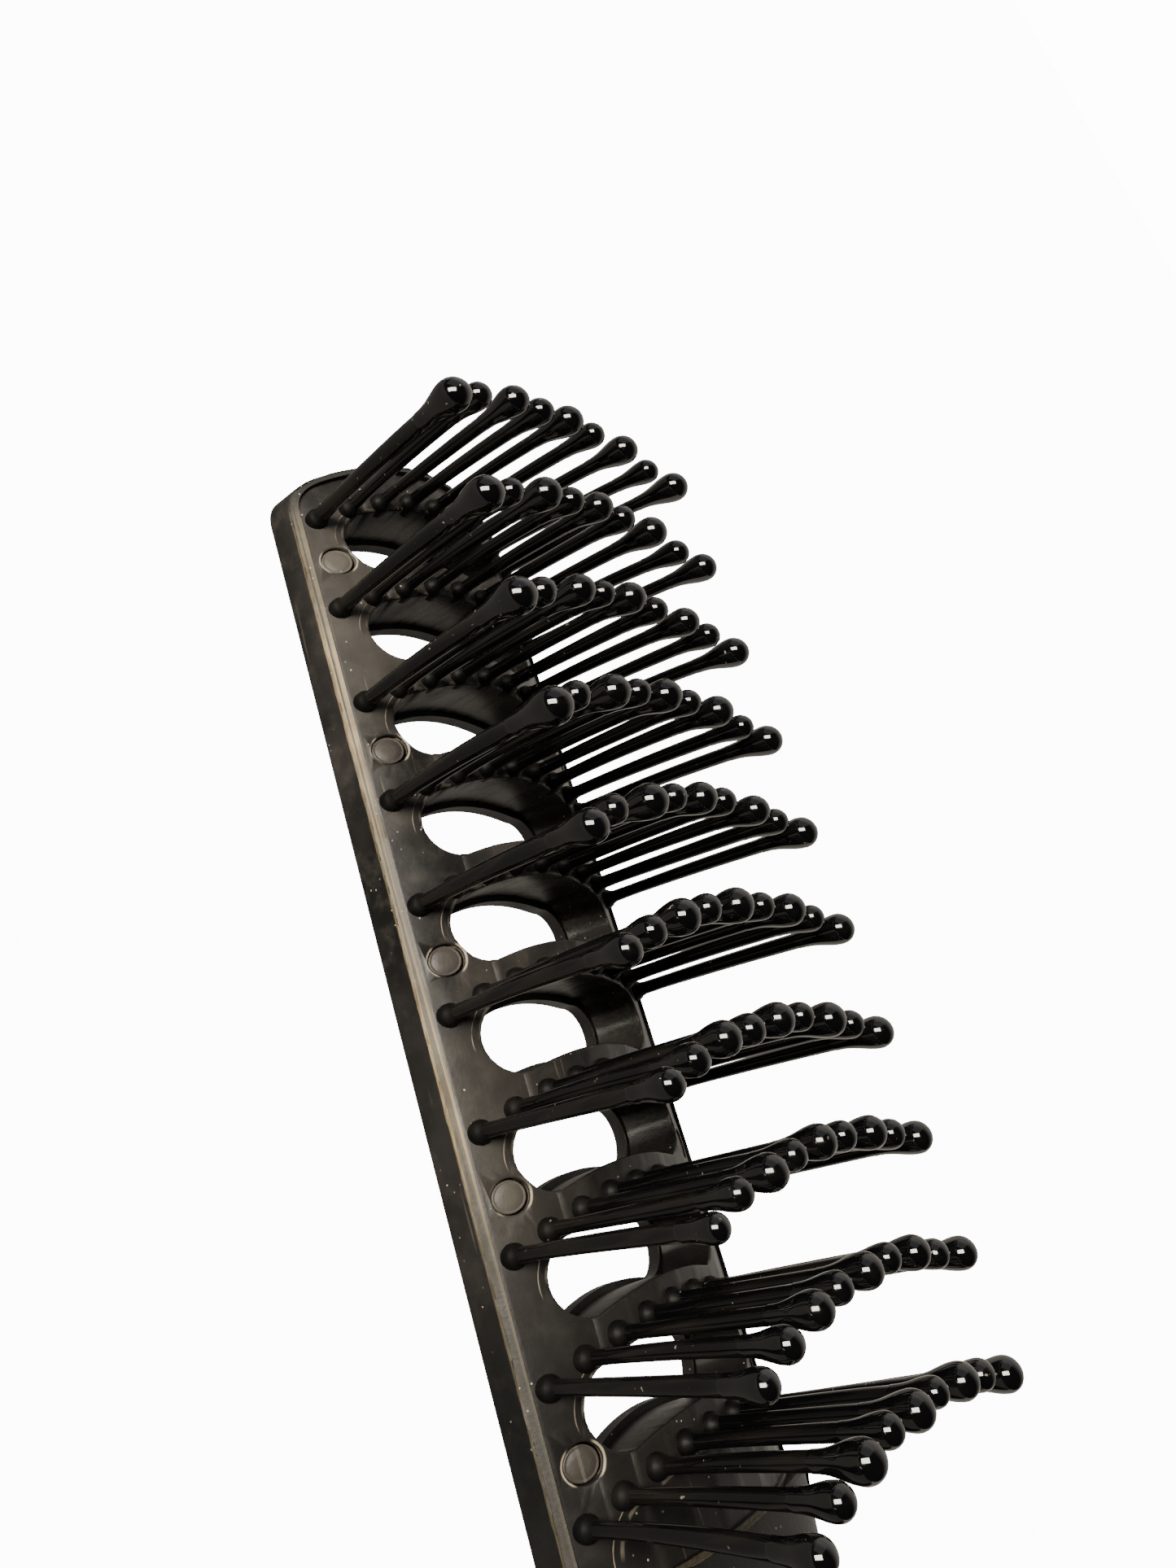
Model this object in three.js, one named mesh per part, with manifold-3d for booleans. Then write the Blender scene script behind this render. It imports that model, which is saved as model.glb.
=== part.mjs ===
// Vented hair brush, lying on its back with the bristles up. Millimetres.
// +X runs across the head, +Y towards the tip of the head, +Z along the bristles.
// The origin is under the middle of the brush, on the plane that its flat back rests on.

import * as THREE from 'three';
import { mergeVertices } from 'three/addons/utils/BufferGeometryUtils.js';
import Module from 'manifold-3d';

// Overall
const LENGTH = 222.8;
const TIP_Y = LENGTH / 2;
const GAP = 0.3;                    // clearance between pieces that touch

// Bristle field
const ROWS = 10;
const BRISTLES = 9;                 // in each row
const ROW_PITCH = 10;
const ROW_BOW = 2.5;                // how far the middle of a row stands ahead of its ends
const TIP_MARGIN = 7.7;             // from the tip to the ends of the first row
const ROOT_ANGLE = 0.548;           // surface slope at the outermost bristles, radians
const FAN_ANGLE = 0.161;            // outward tilt of the outermost bristles, radians
const LEAN_ANGLE = 0.039;           // tilt of every bristle towards the handle, radians

// Head
const FRONT_RADIUS = 25.6;          // of the arched front face
const FRONT_TOP = 7.94;             // highest point of the front face
const HEAD_HALF_WIDTH = 15.7;
const RIM_WALL = 1;
const FLOOR = 1.4;                  // back layer under the vent plate
const CORNER = 2.8;
const PLATE_HALF_WIDTH = HEAD_HALF_WIDTH - RIM_WALL - GAP;
const HEAD_END_MARGIN = 5.2;        // from the ends of the last row to the end of the vent plate

// Vents
const VENT_HALF_LENGTH = 11.3;      // at the front face
const VENT_HALF_WIDTH = 3.3;
const VENT_BOW = 2.8;
const VENT_END_HEIGHT = 5.4;        // height of the front face at the vent ends
const VENT_NARROWING = 0.42;        // how much a vent's half length drops for each mm towards the back

// Bristle rows
const BAR_WIDTH = 1.6;
const BAR_HALF_LENGTH = 13.6;
const BAR_BOTTOM = FLOOR + 2 * GAP;
const BAR_TOP = BAR_BOTTOM + 1.1;
const ROOT_RADIUS = 0.9;
const ROOT_HEIGHT = 1.2;
const SHAFT_RADIUS = 0.65;
const LONG_BRISTLE = 18.77;         // root to bead centre, in the middle of a row
const SHORT_BRISTLE = 18.54;
const END_LENGTHENING = 0.2;        // outermost bristles are longer, so that the beads lie level
const LONG_BEAD_RADIUS = 1.5;
const SHORT_BEAD_RADIUS = 1.28;
const BRISTLE_SIDES = 6;

// Plate pins, beside every second vent
const PINS_PER_SIDE = 5;
const PIN_RADIUS = 1.25;
const PIN_X = 12.7;
const PIN_BACK = 0.25;

// Handle
const PARTING_Z = 5;                // where the back half of the handle meets the front shell
const SHELL_WALL = 2.2;
const GRIP_DEPTH = 1.5;
const GRIP_START_Y = -34;
const GRIP_END_Y = -94;
const FLAT_DEPTH = 0.8;             // how far the oval section is cut away to leave a flat back
const NECK_OVERLAP = 1;             // length that the head's tray and the handle share
const HANDLE_STATIONS = [           // [y, half width, height]
  [8.2, HEAD_HALF_WIDTH, 7.6],
  [2, 13.6, 8.2],
  [-6, 9.6, 9.8],
  [-18, 8.2, 11.4],
  [-40, 9.6, 12.8],
  [-70, 11.2, 13.6],
  [-94, 10.6, 12.8],
  [-106, 8.2, 10.4],
  [-LENGTH / 2, 4.2, 7.4],
];

const wasm = await Module();
wasm.setup();

function solid(geometry) {
  const bare = geometry.clone();
  for (const name of Object.keys(bare.attributes)) {
    if (name !== 'position') bare.deleteAttribute(name);
  }
  const merged = mergeVertices(bare, 1e-4);
  return new wasm.Manifold(new wasm.Mesh({
    numProp: 3,
    vertProperties: new Float32Array(merged.attributes.position.array),
    triVerts: new Uint32Array(merged.index.array),
  }));
}

function geometryOf(manifold) {
  const { vertProperties, triVerts } = manifold.getMesh();
  const geometry = new THREE.BufferGeometry();
  geometry.setAttribute('position', new THREE.BufferAttribute(vertProperties, 3));
  geometry.setIndex(new THREE.BufferAttribute(triVerts, 1));
  return geometry;
}

function block(low, high) {
  const geometry = new THREE.BoxGeometry(high[0] - low[0], high[1] - low[1], high[2] - low[2]);
  geometry.translate((low[0] + high[0]) / 2, (low[1] + high[1]) / 2, (low[2] + high[2]) / 2);
  return solid(geometry);
}

// Extrudes an outline in X and Y from one height to another.
function slab(outline, bottom, top, curveSegments = 6) {
  const geometry = new THREE.ExtrudeGeometry(outline, {
    depth: top - bottom, bevelEnabled: false, curveSegments, steps: 1,
  });
  geometry.translate(0, 0, bottom);
  return solid(geometry);
}

const rowY = (row) => TIP_Y - TIP_MARGIN - row * ROW_PITCH;
const ROOT_X = FRONT_RADIUS * Math.sin(ROOT_ANGLE);
const bowed = (bow, x) => bow * (1 - (x / ROOT_X) ** 2);
const frontZ = (x) => Math.sqrt(FRONT_RADIUS ** 2 - x ** 2) - FRONT_RADIUS + FRONT_TOP;
const PLATE_END_Y = rowY(ROWS - 1) - HEAD_END_MARGIN;

// The space under the arched front face, as wide as the head.
function underArch() {
  const outline = new THREE.Shape();
  const reach = Math.asin((HEAD_HALF_WIDTH + 1) / FRONT_RADIUS);
  const centre = FRONT_TOP - FRONT_RADIUS;
  outline.absarc(0, centre, FRONT_RADIUS, Math.PI / 2 - reach, Math.PI / 2 + reach, false);
  outline.lineTo(-HEAD_HALF_WIDTH - 1, -1);
  outline.lineTo(HEAD_HALF_WIDTH + 1, -1);
  const geometry = new THREE.ExtrudeGeometry(outline, {
    depth: LENGTH + 2, bevelEnabled: false, curveSegments: 9,
  });
  geometry.rotateX(Math.PI / 2);
  geometry.translate(0, LENGTH / 2 + 1, 0);
  return solid(geometry);
}

// Plan of the head down to endY, with straight sides, a bowed tip and rounded tip corners.
function headOutline(inset, endY) {
  const side = HEAD_HALF_WIDTH - inset;
  const corner = Math.max(CORNER - inset / 2, 1);
  const tip = (x) => TIP_Y - ROW_BOW - inset + bowed(ROW_BOW, x);
  const outline = new THREE.Shape();
  outline.moveTo(-side, endY);
  outline.lineTo(side, endY);
  outline.lineTo(side, tip(side) - corner);
  outline.quadraticCurveTo(side, tip(side), side - corner, tip(side - corner));
  const steps = 8;
  for (let step = 1; step <= steps; step += 1) {
    const x = (side - corner) * (1 - 2 * step / steps);
    outline.lineTo(x, tip(x));
  }
  outline.quadraticCurveTo(-side, tip(side), -side, tip(side) - corner);
  return outline;
}

// One vent: a bowed stadium whose ends lean inwards towards the back.
function vent(index, bottom) {
  const y = rowY(index) - ROW_PITCH / 2;
  const straight = VENT_HALF_LENGTH - VENT_HALF_WIDTH;
  const centre = (x) => y + bowed(VENT_BOW, x);
  const steps = 4;
  const outline = new THREE.Shape();
  outline.absarc(straight, centre(straight), VENT_HALF_WIDTH, -Math.PI / 2, Math.PI / 2, false);
  for (let step = 1; step < steps; step += 1) {
    const x = straight * (1 - 2 * step / steps);
    outline.lineTo(x, centre(x) + VENT_HALF_WIDTH);
  }
  outline.absarc(-straight, centre(straight), VENT_HALF_WIDTH, Math.PI / 2, Math.PI * 1.5, false);
  for (let step = 1; step < steps; step += 1) {
    const x = straight * (2 * step / steps - 1);
    outline.lineTo(x, centre(x) - VENT_HALF_WIDTH);
  }
  const geometry = new THREE.ExtrudeGeometry(outline, {
    depth: FRONT_TOP + 1 - bottom, bevelEnabled: false, curveSegments: 4,
  });
  geometry.translate(0, 0, bottom);
  const place = geometry.attributes.position;
  for (let k = 0; k < place.count; k += 1) {
    const drop = VENT_END_HEIGHT - place.getZ(k);
    place.setX(k, place.getX(k) * (1 - drop * VENT_NARROWING / VENT_HALF_LENGTH));
  }
  return solid(geometry);
}

function allVents(bottom) {
  const cutters = [];
  for (let index = 0; index < ROWS - 1; index += 1) cutters.push(vent(index, bottom));
  return wasm.Manifold.union(cutters);
}

// Bristle frame: where it leaves the front face, how long it is and how it tilts.
function bristle(row, index) {
  const across = (index - (BRISTLES - 1) / 2) / ((BRISTLES - 1) / 2);
  const slope = ROOT_ANGLE * across;
  const x = FRONT_RADIUS * Math.sin(slope);
  const long = index % 2 === 0;
  const tilt = FAN_ANGLE * across;
  return {
    root: new THREE.Vector3(x, rowY(row) + bowed(ROW_BOW, x), frontZ(x)),
    direction: new THREE.Vector3(Math.sin(tilt), -Math.sin(LEAN_ANGLE), Math.cos(tilt)).normalize(),
    length: (long ? LONG_BRISTLE : SHORT_BRISTLE) * (1 + END_LENGTHENING * across ** 2),
    bead: long ? LONG_BEAD_RADIUS : SHORT_BEAD_RADIUS,
  };
}

// Turns a lathe's own axis, +Y, to the bristle's direction and puts its zero at the root.
function alongBristle(geometry, { root, direction }) {
  const turn = new THREE.Quaternion().setFromUnitVectors(new THREE.Vector3(0, 1, 0), direction);
  geometry.applyQuaternion(turn);
  geometry.translate(root.x, root.y, root.z);
  return geometry;
}

// Strip of the row's base bar, curved with the row.
function barOutline(halfLength, width, row) {
  const steps = 6;
  const outline = new THREE.Shape();
  for (let step = 0; step <= steps; step += 1) {
    const x = halfLength * (2 * step / steps - 1);
    const y = rowY(row) + bowed(ROW_BOW, x) - width / 2;
    if (step === 0) outline.moveTo(x, y);
    else outline.lineTo(x, y);
  }
  for (let step = 0; step <= steps; step += 1) {
    const x = halfLength * (1 - 2 * step / steps);
    outline.lineTo(x, rowY(row) + bowed(ROW_BOW, x) + width / 2);
  }
  return outline;
}

// One row: nine bristles standing on a hidden bar.
function bristleRow(row) {
  const pieces = [slab(barOutline(BAR_HALF_LENGTH, BAR_WIDTH, row), BAR_BOTTOM, BAR_TOP)];
  for (let index = 0; index < BRISTLES; index += 1) {
    const frame = bristle(row, index);
    const buried = (frame.root.z - BAR_TOP + 0.5) / frame.direction.z;
    const { length, bead } = frame;
    const profile = [
      [0, -buried], [ROOT_RADIUS, -buried], [ROOT_RADIUS, ROOT_HEIGHT], [SHAFT_RADIUS, ROOT_HEIGHT * 1.5],
      [SHAFT_RADIUS, length - 3.2 * bead], [bead, length - 0.2 * bead], [0, length + bead],
    ].map(([radius, height]) => new THREE.Vector2(radius, height));
    pieces.push(solid(alongBristle(new THREE.LatheGeometry(profile, BRISTLE_SIDES), frame)));
  }
  return wasm.Manifold.union(pieces);
}

// Holes that a row's bristles pass through, and the channel that its bar lies in.
function rowCutter(row) {
  const channel = barOutline(BAR_HALF_LENGTH + GAP, BAR_WIDTH + 2 * GAP, row);
  const cutters = [slab(channel, FLOOR - 1, BAR_TOP + GAP)];
  for (let index = 0; index < BRISTLES; index += 1) {
    const frame = bristle(row, index);
    const depth = frame.root.z - BAR_TOP + GAP;
    const geometry = new THREE.CylinderGeometry(ROOT_RADIUS + 0.45, ROOT_RADIUS + 0.45, depth + 4, BRISTLE_SIDES);
    geometry.rotateY(Math.PI / 2);
    geometry.translate(0, 2 - depth / 2, 0);
    cutters.push(solid(alongBristle(geometry, frame)));
  }
  return wasm.Manifold.union(cutters);
}

// Pins stand beside vents 1, 3, 5, 7 and 9, a little below each vent's middle.
const pinY = (number) => rowY(0) - 4.8 - 20.15 * (number - 1);

function pinCylinder(side, number, radius, bottom, top) {
  const geometry = new THREE.CylinderGeometry(radius, radius, top - bottom, 10);
  geometry.rotateX(Math.PI / 2);
  geometry.translate(side * PIN_X, pinY(number), (top + bottom) / 2);
  return solid(geometry);
}

function platePin(side, number) {
  return pinCylinder(side, number, PIN_RADIUS, PIN_BACK, FRONT_TOP).intersect(underArch());
}

function pinHoles() {
  const cutters = [];
  for (const side of [-1, 1]) {
    for (let number = 1; number <= PINS_PER_SIDE; number += 1) {
      cutters.push(pinCylinder(side, number, PIN_RADIUS + GAP + 0.06, -1, FRONT_TOP + 1));
    }
  }
  return wasm.Manifold.union(cutters);
}

function ventPlate() {
  const inset = HEAD_HALF_WIDTH - PLATE_HALF_WIDTH;
  const cutters = [allVents(0), pinHoles()];
  for (let row = 0; row < ROWS; row += 1) cutters.push(rowCutter(row));
  return slab(headOutline(inset, PLATE_END_Y), FLOOR + GAP, FRONT_TOP + 1)
    .intersect(underArch())
    .subtract(wasm.Manifold.union(cutters));
}

// Handle skin: an oval section carried along the handle, taken in by an even inset.
function handleSolid(inset, startY, endY, sides = 16, step = 9) {
  const spline = new THREE.CatmullRomCurve3(
    HANDLE_STATIONS.map(([y, halfWidth, height]) => new THREE.Vector3(halfWidth, y, height)),
    false, 'centripetal',
  );
  const samples = spline.getPoints(160);
  const station = (y) => {
    const after = Math.max(1, samples.findIndex((point) => point.y <= y));
    const [a, b] = [samples[after - 1], samples[after]];
    return a.clone().lerp(b, (a.y - y) / (a.y - b.y));
  };
  const lengthSteps = Math.ceil((startY - endY) / step);
  const geometry = new THREE.CylinderGeometry(1, 1, 1, sides, lengthSteps);
  const place = geometry.attributes.position;
  const roundness = 2 / 2.5;
  for (let k = 0; k < place.count; k += 1) {
    const y = THREE.MathUtils.lerp(endY, startY, place.getY(k) + 0.5);
    const { x: halfWidth, z: height } = station(THREE.MathUtils.clamp(y, -LENGTH / 2, HANDLE_STATIONS[0][0]));
    const reach = Math.hypot(place.getX(k), place.getZ(k));
    const angle = Math.atan2(place.getZ(k), place.getX(k));
    const across = reach * Math.sign(Math.cos(angle)) * Math.abs(Math.cos(angle)) ** roundness;
    const up = reach * Math.sign(Math.sin(angle)) * Math.abs(Math.sin(angle)) ** roundness;
    const middle = (height - FLAT_DEPTH) / 2;
    const rise = (height + FLAT_DEPTH) / 2 - inset;
    place.setXYZ(k, across * (halfWidth - inset), y, middle + up * rise);
  }
  return solid(geometry);
}

const ABOVE = [40, LENGTH, 40];
const between = (startY, endY) => block([-40, endY, -40], [40, startY, 40]);

// Handle without the band that the grip sleeve fills.
function handleCore() {
  const start = HANDLE_STATIONS[0][0];
  const band = between(GRIP_START_Y + GAP, GRIP_END_Y - GAP);
  const slim = handleSolid(GRIP_DEPTH + GAP, start, -LENGTH / 2).intersect(band);
  const hollow = handleSolid(SHELL_WALL + GRIP_DEPTH, -14, -LENGTH / 2 + 9, 10, 18)
    .intersect(block([-40, -LENGTH, SHELL_WALL + GRIP_DEPTH], ABOVE));
  return handleSolid(0, start, -LENGTH / 2).subtract(band).add(slim).subtract(hollow);
}

function brushBody() {
  const neckY = PLATE_END_Y - GAP;
  const cavity = slab(headOutline(RIM_WALL, neckY), FLOOR, FRONT_TOP + 1)
    .add(block([-40, -LENGTH, PARTING_Z], [40, neckY, 40]));
  const tray = slab(headOutline(0, neckY - NECK_OVERLAP), 0, FRONT_TOP + 1)
    .intersect(underArch())
    .subtract(cavity)
    .subtract(allVents(-1))
    .subtract(pinHoles());
  const back = handleCore().intersect(block([-40, -LENGTH, 0], [40, LENGTH, PARTING_Z]));
  return tray.add(back);
}

function handleFrontShell() {
  return handleCore().intersect(block([-40, -LENGTH, PARTING_Z + GAP], ABOVE));
}

function gripSleeve() {
  const outer = handleSolid(0, HANDLE_STATIONS[0][0], -LENGTH / 2);
  const inner = handleSolid(GRIP_DEPTH, HANDLE_STATIONS[0][0], -LENGTH / 2);
  return outer.subtract(inner)
    .intersect(between(GRIP_START_Y, GRIP_END_Y))
    .intersect(block([-40, -LENGTH, 0], ABOVE));
}

const headPlastic = () => new THREE.MeshStandardMaterial({ color: 0x1b1a18, roughness: 0.38, metalness: 0 });
const bodyPlastic = () => new THREE.MeshStandardMaterial({ color: 0x24211e, roughness: 0.45, metalness: 0 });
const bristleNylon = () => new THREE.MeshStandardMaterial({ color: 0x121110, roughness: 0.25, metalness: 0 });
const gripRubber = () => new THREE.MeshStandardMaterial({ color: 0x1a1a1a, roughness: 0.8, metalness: 0 });

function piece(name, manifold, material) {
  const mesh = new THREE.Mesh(geometryOf(manifold), material);
  mesh.name = name;
  return mesh;
}

const brush = new THREE.Group();

const head = new THREE.Group();
head.add(piece('brush_body', brushBody(), bodyPlastic()));
head.add(piece('vent_plate', ventPlate(), headPlastic()));
for (let row = 0; row < ROWS; row += 1) {
  head.add(piece(`bristle_row_${String(row + 1).padStart(2, '0')}`, bristleRow(row), bristleNylon()));
}
for (let number = 1; number <= PINS_PER_SIDE; number += 1) {
  head.add(piece(`plate_pin_left_${number}`, platePin(-1, number), headPlastic()));
  head.add(piece(`plate_pin_right_${number}`, platePin(1, number), headPlastic()));
}
brush.add(head);

const handle = new THREE.Group();
handle.add(piece('handle_front_shell', handleFrontShell(), bodyPlastic()));
handle.add(piece('grip_sleeve', gripSleeve(), gripRubber()));
brush.add(handle);

export default brush;
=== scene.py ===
"""A vented hair brush lying on its back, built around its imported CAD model.

Lengths are in metres, and numbers times MM are in millimetres. The brush lies along Y with its tip at +Y.
"""

import math
import random

import bmesh
import bpy
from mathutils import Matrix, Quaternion, Vector


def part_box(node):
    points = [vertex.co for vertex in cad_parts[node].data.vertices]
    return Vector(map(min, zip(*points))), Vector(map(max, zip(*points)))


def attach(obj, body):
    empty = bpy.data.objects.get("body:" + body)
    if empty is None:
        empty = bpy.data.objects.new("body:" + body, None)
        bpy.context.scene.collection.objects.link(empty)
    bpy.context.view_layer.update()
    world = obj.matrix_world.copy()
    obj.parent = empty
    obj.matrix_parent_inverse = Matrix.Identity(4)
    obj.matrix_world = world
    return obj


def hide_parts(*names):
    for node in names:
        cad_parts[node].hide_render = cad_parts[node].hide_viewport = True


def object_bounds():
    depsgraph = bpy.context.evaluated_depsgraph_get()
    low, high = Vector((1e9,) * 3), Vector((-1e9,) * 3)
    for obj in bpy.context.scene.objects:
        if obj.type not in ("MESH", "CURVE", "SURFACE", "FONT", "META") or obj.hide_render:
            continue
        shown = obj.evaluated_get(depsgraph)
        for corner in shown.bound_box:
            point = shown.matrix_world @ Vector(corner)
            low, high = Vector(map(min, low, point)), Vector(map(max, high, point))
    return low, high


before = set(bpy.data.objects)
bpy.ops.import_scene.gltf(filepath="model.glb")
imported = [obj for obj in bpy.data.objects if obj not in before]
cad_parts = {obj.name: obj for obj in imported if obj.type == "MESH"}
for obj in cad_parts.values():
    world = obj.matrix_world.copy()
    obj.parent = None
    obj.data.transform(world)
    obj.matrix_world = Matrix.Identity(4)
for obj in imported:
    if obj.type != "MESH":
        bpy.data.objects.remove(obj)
cad_low, cad_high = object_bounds()
MM = 0.001

# Camera: close over the near rail of the head, a little towards the handle, and rolled to one side.
TIP_Y = cad_high.y
CAMERA_PLACE = Vector((-88.1 * MM, TIP_Y - 74.0 * MM, 77.9 * MM))
CAMERA_AIM = Vector((11.5 * MM, TIP_Y - 35.9 * MM, 8.0 * MM))
CAMERA_ROLL = math.radians(60.3)
camera_data = bpy.data.cameras.new("camera")
camera_data.lens = 27.8
camera_data.sensor_width = 36
camera_data.clip_start = 5 * MM
camera = bpy.data.objects.new("camera", camera_data)
bpy.context.scene.collection.objects.link(camera)
camera.location = CAMERA_PLACE
camera.rotation_mode = "QUATERNION"
level = (CAMERA_AIM - CAMERA_PLACE).to_track_quat("-Z", "Y")
camera.rotation_quaternion = level @ Quaternion((0, 0, 1), CAMERA_ROLL)
bpy.context.scene.camera = camera


# Shader maths: a Tone is a socket, so that an expression on tones adds its Math nodes.
class Tone:
    def __init__(self, tree, socket=None):
        self.tree, self.socket = tree, socket

    def node(self, kind, settings=None, inputs=None, output=0):
        made = self.tree.nodes.new(kind)
        for name, value in (settings or {}).items():
            setattr(made, name, value)
        for name, value in (inputs or {}).items():
            if isinstance(value, Tone):
                self.tree.links.new(value.socket, made.inputs[name])
            else:
                made.inputs[name].default_value = value
        return Tone(self.tree, made.outputs[output])

    def maths(self, operation, *values):
        """A Math node with this tone first and the other values after it."""
        return self.node("ShaderNodeMath", {"operation": operation}, dict(enumerate((self, *values))))

    def __add__(self, other):
        return self.maths("ADD", other)

    def __radd__(self, other):
        return self.maths("ADD", other)

    def __sub__(self, other):
        return self.maths("SUBTRACT", other)

    def __rsub__(self, other):
        return self * -1 + other

    def __mul__(self, other):
        return self.maths("MULTIPLY", other)

    def __rmul__(self, other):
        return self.maths("MULTIPLY", other)

    def fade(self, low, high):
        """0 below low, 1 above high, and smooth between; low may be the larger."""
        if low > high:
            return 1 - self.fade(high, low)
        settings = {"interpolation_type": "SMOOTHSTEP"}
        return self.node("ShaderNodeMapRange", settings, {"Value": self, "From Min": low, "From Max": high})

    def blend(self, colour_a, colour_b):
        """colour_a where this tone is 0, colour_b where it is 1."""
        inputs = {0: self, 6: colour_a, 7: colour_b}
        return self.node("ShaderNodeMix", {"data_type": "RGBA"}, inputs, output=2)

    def stretch(self, x, y, z):
        return self.node("ShaderNodeMapping", None, {"Vector": self, "Scale": (x, y, z)})

    def noise(self, scale, detail=2.0, roughness=0.5):
        inputs = {"Vector": self, "Scale": scale, "Detail": detail, "Roughness": roughness}
        return self.node("ShaderNodeTexNoise", None, inputs)

    def part(self, number):
        return self.node("ShaderNodeSeparateXYZ", None, {"Vector": self}, output=number)

    def specks(self, scale, size):
        """1 in small round spots, one to a cell at most, and 0 elsewhere."""
        inputs = {"Vector": self, "Scale": scale}
        return self.node("ShaderNodeTexVoronoi", None, inputs, output="Distance").fade(size, size * 0.5)


def material_of(name, constants, varying, bump=None):
    """A Principled material. constants are set on its sockets; varying(coords) gives tones for its sockets."""
    material = bpy.data.materials.new(name)
    material.use_nodes = True
    tree = material.node_tree
    shader = tree.nodes["Principled BSDF"]
    for socket, value in constants.items():
        shader.inputs[socket].default_value = value
    coords = Tone(tree).node("ShaderNodeTexCoord", output="Object")
    for socket, tone in varying(coords).items():
        tree.links.new(tone.socket, shader.inputs[socket])
    if bump:
        height, distance, strength = bump(coords)
        inputs = {"Height": height, "Distance": distance, "Strength": strength}
        normal = coords.node("ShaderNodeBump", None, inputs)
        tree.links.new(normal.socket, shader.inputs["Normal"])
    return material


# Floor and room: a pale table in a pale room, both glowing with light of their own. Both are white to the camera
# and dimmer and warmer to the brush, which keeps the black plastic dark. To the brush the table glows darker on the
# lamp's side, where x is negative.
WHITE = (1, 1, 1, 1)
WHITE_GLOW = 14.0


def pale_floor():
    material = bpy.data.materials.new("pale_floor")
    material.use_nodes = True
    tree = material.node_tree
    tree.nodes.clear()
    start = Tone(tree)
    camera_ray = start.node("ShaderNodeLightPath", output="Is Camera Ray")
    coords = start.node("ShaderNodeTexCoord", output="Object")
    warm = coords.part(0).fade(-10 * MM, 15 * MM).blend((0.15, 0.138, 0.12, 1), (0.7, 0.644, 0.56, 1))
    matt = start.node("ShaderNodeBsdfDiffuse", None, {"Color": (0.8, 0.8, 0.8, 1)})
    dim = start.node("ShaderNodeEmission", None, {"Color": warm, "Strength": 1.0})
    bright = start.node("ShaderNodeEmission", None, {"Color": WHITE, "Strength": WHITE_GLOW})
    to_brush = start.node("ShaderNodeMixShader", None, {0: 0.94, 1: matt, 2: dim})
    to_camera = start.node("ShaderNodeMixShader", None, {0: 0.9, 1: matt, 2: bright})
    mixed = start.node("ShaderNodeMixShader", None, {0: camera_ray, 1: to_brush, 2: to_camera})
    out = tree.nodes.new("ShaderNodeOutputMaterial")
    tree.links.new(mixed.socket, out.inputs["Surface"])
    return material


def object_of(name, bm, *materials):
    """An object made from bm, which is freed, with its materials in the order of their slots."""
    mesh = bpy.data.meshes.new(name)
    bm.to_mesh(mesh)
    bm.free()
    for material in materials:
        mesh.materials.append(material)
    made = bpy.data.objects.new(name, mesh)
    bpy.context.scene.collection.objects.link(made)
    return made


bm = bmesh.new()
bmesh.ops.create_circle(bm, cap_ends=True, segments=96, radius=4.0)
floor = object_of("floor", bm, pale_floor())

world = bpy.data.worlds.new("room")
bpy.context.scene.world = world
world.use_nodes = True
world.node_tree.nodes.clear()
sky = Tone(world.node_tree)
camera_ray = sky.node("ShaderNodeLightPath", output="Is Camera Ray")
heading = sky.node("ShaderNodeTexCoord", output="Generated")
BRIGHT_SIDE = (0.90, 0.35, -0.10)
beyond = heading.node("ShaderNodeVectorMath", {"operation": "DOT_PRODUCT"}, {0: heading, 1: BRIGHT_SIDE},
                      output="Value")
warm = beyond.fade(0.1, 0.85).blend((0.015, 0.01395, 0.0126, 1), (0.765, 0.71145, 0.6426, 1))
around = sky.node("ShaderNodeBackground", None, {"Color": warm, "Strength": 1.0})
behind = sky.node("ShaderNodeBackground", None, {"Color": WHITE, "Strength": WHITE_GLOW})
room = sky.node("ShaderNodeMixShader", None, {0: camera_ray, 1: around, 2: behind})
world_out = world.node_tree.nodes.new("ShaderNodeOutputWorld")
world.node_tree.links.new(room.socket, world_out.inputs["Surface"])


def soft_light(name, place, aim, width, height, power, colour):
    data = bpy.data.lights.new(name, "AREA")
    data.shape = "RECTANGLE"
    data.size, data.size_y = width, height
    data.energy = power
    data.color = colour
    light = bpy.data.objects.new(name, data)
    bpy.context.scene.collection.objects.link(light)
    light.location = place
    light.rotation_mode = "QUATERNION"
    light.rotation_quaternion = (aim - place).to_track_quat("-Z", "Y")


HEAD_MIDDLE = Vector((0, TIP_Y - 50 * MM, 15 * MM))
soft_light("lamp", HEAD_MIDDLE + Vector((-0.47, 0.13, 0.35)), HEAD_MIDDLE, 0.25, 0.44, 9.5, (1.0, 0.92, 0.79))
soft_light("window", HEAD_MIDDLE + Vector((-0.10, 0.80, 0.60)), HEAD_MIDDLE, 1.2, 0.9, 1.0, (0.96, 0.97, 1.0))

# Vent plate: the arched black moulding that carries ten ribs between nine through vents.
# Its front is terraced, one shallow step for each bristle, and every vent has a rounded edge.
plate_low, plate_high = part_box("vent_plate")
HEAD_HALF_WIDTH = 15.7 * MM
ROWS, BRISTLES = 10, 9
ROW_PITCH = 10 * MM
FIRST_ROW_Y = TIP_Y - 7.7 * MM
ROW_BOW = 2.5 * MM
FRONT_RADIUS = 25.6 * MM
FRONT_TOP = plate_high.z
ROOT_ANGLE = 0.548
ROOT_STEP = ROOT_ANGLE / (BRISTLES // 2)
ROOT_X = FRONT_RADIUS * math.sin(ROOT_ANGLE)
TERRACE_SLOPE = 0.84
RISER = 0.09 * MM
PLATE_EDGE = 14.68 * MM
PLATE_INSET = HEAD_HALF_WIDTH - PLATE_EDGE
PLATE_END_Y = plate_low.y
PLATE_BACK = 1.46 * MM
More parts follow.
